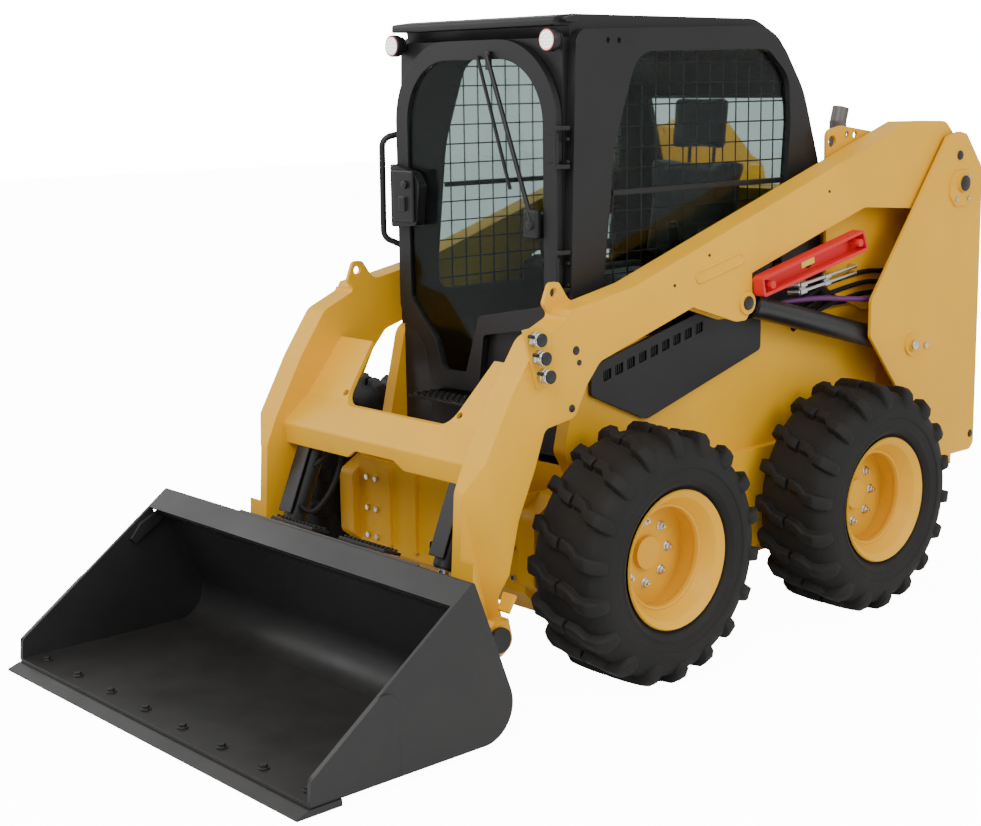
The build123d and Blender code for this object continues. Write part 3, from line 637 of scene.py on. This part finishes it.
def makeGlow(name, colour, strength):
    mat = makeCoat(name, colour, 0.2, dusty=0.0)
    bsdf = mat.node_tree.nodes["Principled BSDF"]
    bsdf.inputs["Emission Color"].default_value = (*colour, 1)
    bsdf.inputs["Emission Strength"].default_value = strength
    return mat


lensMat = makeGlow("lampLens", (0.8, 0.8, 0.82), 0.4)
dotMat = makeGlow("lampDots", (0.95, 0.95, 0.95), 1.5)
for side, s in bothSides:
    y, z, f = s * lamp["y"], lamp["z"], lamp["front"]
    parts = [rod((1192, y, z), (1215, y, z), 27, 32, 2), rod((1212, y, z), (f, y, z), lamp["radius"], 40, 3)]
    parts += [rod((x, y, z), (x + 3, y, z), 31, 32) for x in lamp["fins"]]
    parts.append(box((1185, 1200), (y - 9, y + 9), (z - 14, z + 8)))
    housing = join(parts, "housing")
    settle(housing, f"lampHousing_{side}", "lamp_plastic", "chassis")
    if side == "left":
        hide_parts("work_lamps")
    settle(rod((f - 1, y, z), (f + 0.6, y, z), 33.5, 40), f"lampRing_{side}", "red_paint", "chassis")
    settle(rod((f, y, z), (f + 1.4, y, z), 31, 40), f"lampLens_{side}", "lamp_plastic", "chassis", lensMat)
    dots = []
    for count, radius in lamp["rings"]:
        for k in range(count):
            a = 2 * math.pi * k / count
            at = (y + radius * math.cos(a), z + radius * math.sin(a))
            dots.append(rod((f + 1, *at), (f + 2.4, *at), lamp["light"], 14))
    settle(join(dots, "dots"), f"lampLights_{side}", "lamp_plastic", "chassis", dotMat)
print("lamps")

# door furniture: wiper with its cover, latch and hinge brackets
door = {
    "face": 1216,
    "brackets": (1240, 1360, 1630, 1750),
    "bolts": (1262, 1332, 1652, 1722),
}


def makeWiper(d):
    f = d["face"]
    parts = [
        rod((f + 16, 300, 1462), (f + 16, 96, 1985), 8, 12),
        rod((f + 7, 190, 1560), (f + 7, 40, 1985), 6, 8),
        box((f, f + 22), (262, 330), (1405, 1500), 9, 3),
        rod((f + 2, 300, 1450), (f + 30, 300, 1450), 15, 24, 2),
        box((f + 2, f + 14), (84, 104), (1940, 2000), 3),
    ]
    return join(parts, "wiper")


settle(makeWiper(door), "wiper", "lamp_plastic", "cab_door")
latch = join([
    box((1250, 1262), (-372, -262), (1432, 1608), 5),
    rod((1262, -300, 1560), (1272, -300, 1560), 14, 24, 2),
    box((1240, 1272), (-330, -296), (1470, 1520), 4),
], "latch")
settle(latch, "doorLatch", "lamp_plastic", "cab_door")
parts = [box((1186, 1228), (409, 431), (z, z + 14), 2) for z in door["brackets"]]
parts += [rod((1186, 422, z), (1196, 422, z), 7, 6) for z in door["bolts"]]
settle(join(parts, "hinges"), "hingeBrackets", "cab_black", "chassis")

# seams on the cab's rear and front pillars
seams = []
for side, s in bothSides:
    y = across(s, 431, 434)
    seams.append(box((-40, -34), y, (1080, 1560), 0.5))
    seams.append(box((1120, 1150), y, (1090, 1100), 0.5))
settle(join(seams, "seams"), "pillarSeams", "cab_black", "chassis")
print("door and cab trim")

# seat: base, two bolsters, back and headrest, each swollen from a plain block
seat = {
    "cushions": (
        # x, y, z, swell
        ((190, 640), (-225, 225), (1070, 1200), 22),
        ((170, 600), (-243, -178), (1150, 1232), 12),
        ((170, 600), (178, 243), (1150, 1232), 12),
    ),
    "back": ((70, 190), (-215, 215), (1225, 1625), 20),
    "head": ((52, 122), (-130, 130), (1640, 1840), 14),
    "lean": -6,
    "grid": 14,
    "pressure": 4,
    "frames": 12,
    "fill": 0.7,
}


def cushion(x, y, z, swell, name, lean=0.0):
    inset = swell * 0.6
    obj = box(*((v[0] + inset, v[1] - inset) for v in (x, y, z)), 14, 3)
    mod = obj.modifiers.new("even", "REMESH")
    mod.mode = "VOXEL"
    mod.voxel_size = seat["grid"] / 1000
    bpy.ops.object.modifier_apply(modifier=mod.name)
    if lean:
        pivot = place((x[0] + x[1]) / 2, 0, z[0])
        turn = Matrix.Rotation(math.radians(lean), 4, "Y")
        obj.data.transform(Matrix.Translation(pivot) @ turn @ Matrix.Translation(-pivot))
    rest = [v.co.copy() for v in obj.data.vertices]
    cloth = obj.modifiers.new("swell", "CLOTH")
    cloth.settings.use_pressure = True
    cloth.settings.uniform_pressure_force = seat["pressure"]
    cloth.settings.effector_weights.gravity = 0
    scene = bpy.context.scene
    for f in range(1, seat["frames"] + 1):
        scene.frame_set(f)
    shape = obj.evaluated_get(bpy.context.evaluated_depsgraph_get()).to_mesh()
    moved = [v.co.copy() for v in shape.vertices]
    obj.modifiers.remove(cloth)
    scene.frame_set(1)
    for v, a, b in zip(obj.data.vertices, rest, moved):
        step = b - a
        if step.length > swell / 1000:
            step *= swell / 1000 / step.length
        v.co = a + step
    mod = obj.modifiers.new("smooth", "SUBSURF")
    mod.levels = 1
    bpy.context.view_layer.objects.active = obj
    bpy.ops.object.modifier_apply(modifier=mod.name)
    bpy.ops.object.shade_smooth()
    settle(obj, name, "seat_cover", "chassis")
    return obj


for k, c in enumerate(seat["cushions"]):
    piece = cushion(*c, f"seatCushion_{k}")
    if k == 0:
        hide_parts("seat")
cushion(*seat["back"], "seatBack", seat["lean"])
cushion(*seat["head"], "seatHeadrest", seat["lean"])
parts = [box((200, 610), (-200, 200), (1057, 1080), 4)]
parts += [rod((75, y, 1560), (62, y, 1700), 7, 12) for y in (-60, 60)]
settle(join(parts, "seatFrame"), "seatFrame", "lamp_plastic", "chassis")
for side, s in bothSides:
    stick = join([
        rod((560, s * 330, 1250), (575, s * 325, 1330), 22, 24, 3),
        rod((575, s * 325, 1325), (590, s * 320, 1420), 20, 24, 6),
        box((200, 520), across(s, 300, 370), (1262, 1300), 14, 3),
    ], "stick")
    settle(stick, f"joystick_{side}", "lamp_plastic", "chassis")
print("seat and levers")

# tilt cylinders: flat guards, and hoses that drop from the crossmember
tilt = {
    "base": (1572, 757),
    "eye": (1748.7, 338.9),
    "y": 400,
    # along the cylinder and out from its line
    "guard": ((70, 47), (330, 47), (330, 52), (70, 52)),
    "guardHalf": 34,
    "hoseRadius": 9,
    "hoses": {
        "Short": ((1600, 330, 820), (1560, 330, 760), (1560, 335, 690), (1620, 350, 640), (1640, 366, 620)),
        "Long": ((1600, 300, 820), (1560, 296, 700), (1600, 300, 560), (1680, 314, 470), (1710, 338, 480),
                 (1716, 350, 500)),
    },
}
(baseX, baseZ), (eyeX, eyeZ) = tilt["base"], tilt["eye"]
reach = math.hypot(eyeX - baseX, eyeZ - baseZ)
ux, uz = (eyeX - baseX) / reach, (eyeZ - baseZ) / reach
for side, s in bothSides:
    corners = [(baseX + ux * a + uz * -b, baseZ + uz * a + ux * b) for a, b in tilt["guard"]]
    guard = strip(corners, s * tilt["y"] - tilt["guardHalf"], s * tilt["y"] + tilt["guardHalf"], 1.5)
    settle(guard, f"tiltGuard_{side}", "cylinder_black", f"tilt_barrel_{side}")
    for kind, path in tilt["hoses"].items():
        points = [(x, s * y, z) for x, y, z in path]
        hose(points, tilt["hoseRadius"], f"tiltHose{kind}_{side}", "tyre_rubber", "arms")
    fit = [rod((1600, s * 330, 816), (1592, s * 330, 796), 13, 6),
           rod((1600, s * 300, 816), (1594, s * 300, 794), 13, 6)]
    settle(join(fit, "fittings"), f"hoseFittings_{side}", "coupling_steel", "arms")
print("tilt guards and hoses")

# bucket: bolts along the cutting edge, corner gusset and treads on the coupler
edge = {"bolts": 8, "first": -735, "pitch": 210, "x": 2490}
bolts = []
for k in range(edge["bolts"]):
    x, y = edge["x"], edge["first"] + k * edge["pitch"]
    bolts += [rod((x, y, 37.5), (x, y, 42), 17, 24), rod((x, y, 41), (x, y, 52), 12, 6, 1)]
settle(join(bolts, "bolts"), "edgeBolts", "bucket_black", "bucket")
gusset = strip([(1975, 470), (2080, 420), (2120, 372), (2100, 352), (1990, 420), (1960, 450)], -803, -791, 2)
settle(gusset, "lipGusset_right", "bucket_black", "bucket")
tread = {"starts": (-300, 70), "width": 230, "studs": 11, "pitch": 20, "rows": ((1812, 480), (1832, 488), (1852, 496))}
treads = []
for low in tread["starts"]:
    treads.append(strip([(1800, 474), (1868, 500), (1872, 490), (1806, 466)], low, low + tread["width"], 1))
    for k in range(tread["studs"]):
        y = low + 16 + k * tread["pitch"]
        treads += [rod((x, y, z), (x - 2, y, z + 6), 6, 8) for x, z in tread["rows"]]
settle(join(treads, "treads"), "couplerTreads", "bucket_black", "bucket")

# bolts, pin caps, plugs and small brackets on the towers and arms
trim = {
    "towerBolts": ((-766, 1520), (-690, 1436), (-770, 1436)),
    # x, z, radius
    "plugs": ((1321, 1084, 13), (1308, 1045, 9), (1341, 905, 12), (700, 1330, 5), (60, 1505, 5), (870, 1245, 5)),
}
for side, s in bothSides:
    parts = [rod((x, s * 620, z), (x, s * 628, z), 9, 6, 1) for x, z in trim["towerBolts"]]
    parts.append(rod((-430, s * 630, 907), (-430, s * 638, 907), 18, 24, 2))
    parts.append(rod((-526, s * 612, 893), (-526, s * 622, 893), 12, 6, 1))
    settle(join(parts, "trim"), f"towerBolts_{side}", "coupling_steel", "chassis")
    cap = join([
        rod((-730, s * 632, 1496), (-730, s * 636, 1496), 30, 32, 2),
        rod((-716, s * 612, 1602), (-716, s * 618, 1602), 18, 32, 3),
        rod((-860, s * 612, 500), (-860, s * 616, 500), 12, 6),
    ], "cap")
    settle(cap, f"pinCaps_{side}", "cylinder_black", "chassis")
    plugs = [rod((x, s * 587, z), (x, s * 591, z), r, 24, 1) for x, z, r in trim["plugs"]]
    plugs.append(rod((506, s * 594, 1153), (506, s * 602, 1153), 24, 32, 3))
    settle(join(plugs, "plugs"), f"armPlugs_{side}", "cylinder_black", "arms")
    bracket = strip([(1690, 300), (1780, 330), (1786, 318), (1700, 280)], *across(s, 588, 606), 1.5)
    step = strip([(1640, 380), (1665, 330), (1660, 322), (1628, 372)], *across(s, 588, 640), 1.5)
    settle(join([bracket, step], "bracket"), f"legBrackets_{side}", "yellow_paint", "arms")
print("pins and plates")

# hoses inside the lift cylinder's line
lift = {"heights": (1180, 1140, 1100), "radius": 9}
for k, z in enumerate(lift["heights"]):
    points = [(-420, 490, z), (-400, 490, z), (-300, 491, z + 8), (-180, 491, z - 4), (-60, 491, z - 20),
              (60, 490, z - 60), (120, 484, z - 90)]
    hose(points, lift["radius"], f"liftHose_{k}", "tyre_rubber", "chassis")

# hose couplings on the left arm, with their levers
couplings = {
    "carrier": [(1420, 1000), (1440, 1148), (1478, 1178), (1552, 1172), (1494, 985)],
    "places": ((1512, 1142), (1494, 1084), (1476, 1026)),
}
carrier = strip(couplings["carrier"], 588, 597, 2)
settle(carrier, "couplingCarrier", "yellow_paint", "arms")
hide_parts("quick_couplings")
bodies, caps = [], []
for x, z in couplings["places"]:
    for low, high, radius, facets, bevel in ((596, 612, 24, 6, 1), (610, 634, 18, 32, 2), (618, 628, 22, 32, 2)):
        bodies.append(rod((x, low, z), (x, high, z), radius, facets, bevel))
    caps.append(rod((x, 633, z), (x, 640, z), 21, 32, 2))
    caps.append(rod((x + 6, 618, z + 6), (x + 44, 626, z + 16), 6, 12, 2))
settle(join(bodies, "bodies"), "couplingBodies", "coupling_steel", "arms")
settle(join(caps, "caps"), "couplingCaps", "cylinder_black", "arms")

# pressed slot in the arm, as a bead round a shallow panel
slot = {"from": (546, 1307), "to": (746, 1262), "radius": 19, "bead": 4.5, "steps": 13}


def makeSlot(s, y0, y1):
    (ax, az), (bx, bz) = s["from"], s["to"]
    along = math.atan2(bz - az, bx - ax)
    points = []
    for cx, cz, start in ((bx, bz, along - math.pi / 2), (ax, az, along + math.pi / 2)):
        for k in range(s["steps"]):
            a = start + k * math.pi / (s["steps"] - 1)
            points.append((cx + s["radius"] * math.cos(a), cz + s["radius"] * math.sin(a)))
    line = (y1 if y1 > 0 else y0) * 0.998
    bead = [rod((q[0], line, q[1]), (p[0], line, p[1]), s["bead"], 12)
            for p, q in zip(points[-1:] + points[:-1], points)]
    return join(bead + [strip(points, y0, y1, 0.5)], "slot")


for side, s in bothSides:
    settle(makeSlot(slot, *across(s, 586, 589)), f"pressedSlot_{side}", "yellow_paint", "arms")

label = strip([(150, 1286), (222, 1271), (217, 1246), (145, 1261)], 594, 596, 0.5)
labelMat = makeCoat("labelYellow", (0.75, 0.62, 0.04), 0.4, dusty=0.02)
settle(label, "blankLabel", "yellow_paint", "arms", labelMat)
print("hoses and couplings")

# coloured return hose, and steel lines with hexagon unions
back = {
    "hose": [(-330, 598, 1086), (-254, 575, 1092), (-120, 548, 1104), (20, 530, 1120), (152, 500, 1118),
             (230, 486, 1112)],
    "radius": 10,
    "lines": (1215, 1190),
}
purple = makeCoat("returnHose", (0.09, 0.012, 0.1), 0.5, grain=300, bump=0.1, dusty=0.03)
hose(back["hose"], back["radius"], "returnHose", "tyre_rubber", "chassis", purple)
lines, unions = [], []
for z in back["lines"]:
    lines.append(rod((-200, 520, z), (130, 520, z - 40), 7, 16))
    unions.append(rod((-40, 520, z - 19.4), (-8, 520, z - 23.3), 13, 6, 1))
    unions.append(rod((100, 520, z - 36.4), (134, 520, z - 40.5), 14, 6, 1))
    lines.append(rod((130, 520, z - 40), (150, 482, z - 44), 8, 16))
    lines.append(rod((-200, 520, z), (-210, 482, z), 8, 16))
settle(join(lines + unions, "lines"), "steelLines", "coupling_steel", "chassis")

# cab inside: dark liners over the body sides and the bulkhead, and the step below the door
liners = [box((-60, 1148), (y, y + 3), (744, 1058), 0.5) for y in (-417.5, 414.5)]
liners.append(box((-147, -144), (-410, 410), (620, 1040), 0.5))
liners.append(box((636, 1146), (-388, 388), (743, 747), 0.5))
settle(join(liners, "liners"), "cabLiners", "cab_black", "chassis")
entry = {"studs": 11, "first": -210, "pitch": 30, "rows": (1240, 1272, 1304)}
step = [box((1216, 1330), (-232, 110), (838, 846), 2), box((1216, 1224), (-232, 110), (700, 846), 2)]
for k in range(entry["studs"]):
    y = entry["first"] + k * entry["pitch"]
    step += [rod((x, y, 844), (x, y, 853), 9, 8) for x in entry["rows"]]
step += [box((1186, 1222), y, (700, 846), 2) for y in ((-232, -220), (98, 110))]
settle(join(step, "step"), "entryStep", "cab_black", "chassis")

# dark ribbed backing that shows through the side panels' slots
backing = {
    "outline": [(600, 1040), (600, 1104), (1110, 984), (1110, 920)],
    "slots": 9,
    "pitch": 56,
    "ribs": (9, 18, 27),
}
for side, s in bothSides:
    parts = [strip(backing["outline"], *across(s, 472, 476), 0.5)]
    for k in range(backing["slots"]):
        x = 610 + k * backing["pitch"]
        top = 1122 - (x - 600) * (130 / 550)
        for rib in backing["ribs"]:
            parts.append(box((x + rib - 1, x + rib + 2), across(s, 475, 481), (top - 66, top - 32), 0.5))
    settle(join(parts, "backing"), f"panelBacking_{side}", "cab_black", "chassis")
print("lines, liners, step and backing")

# bolts on the nose, and the rear door's handle
nose = {"across": (-380, -330, 330, 380), "up": (330, 430, 540)}
bolts = [rod((1400, y, z), (1410, y, z), 11, 6, 1) for y in nose["across"] for z in nose["up"]]
settle(join(bolts, "noseBolts"), "noseBolts", "coupling_steel", "chassis")
handle = [box((-983, -966), (-60, 60), (1308, 1326), 4, 3)]
handle += [box((-982, -962), y, (1300, 1334), 3) for y in ((-74, -60), (60, 74))]
settle(join(handle, "handle"), "rearHandle", "lamp_plastic", "rear_door")
print("nose and rear")
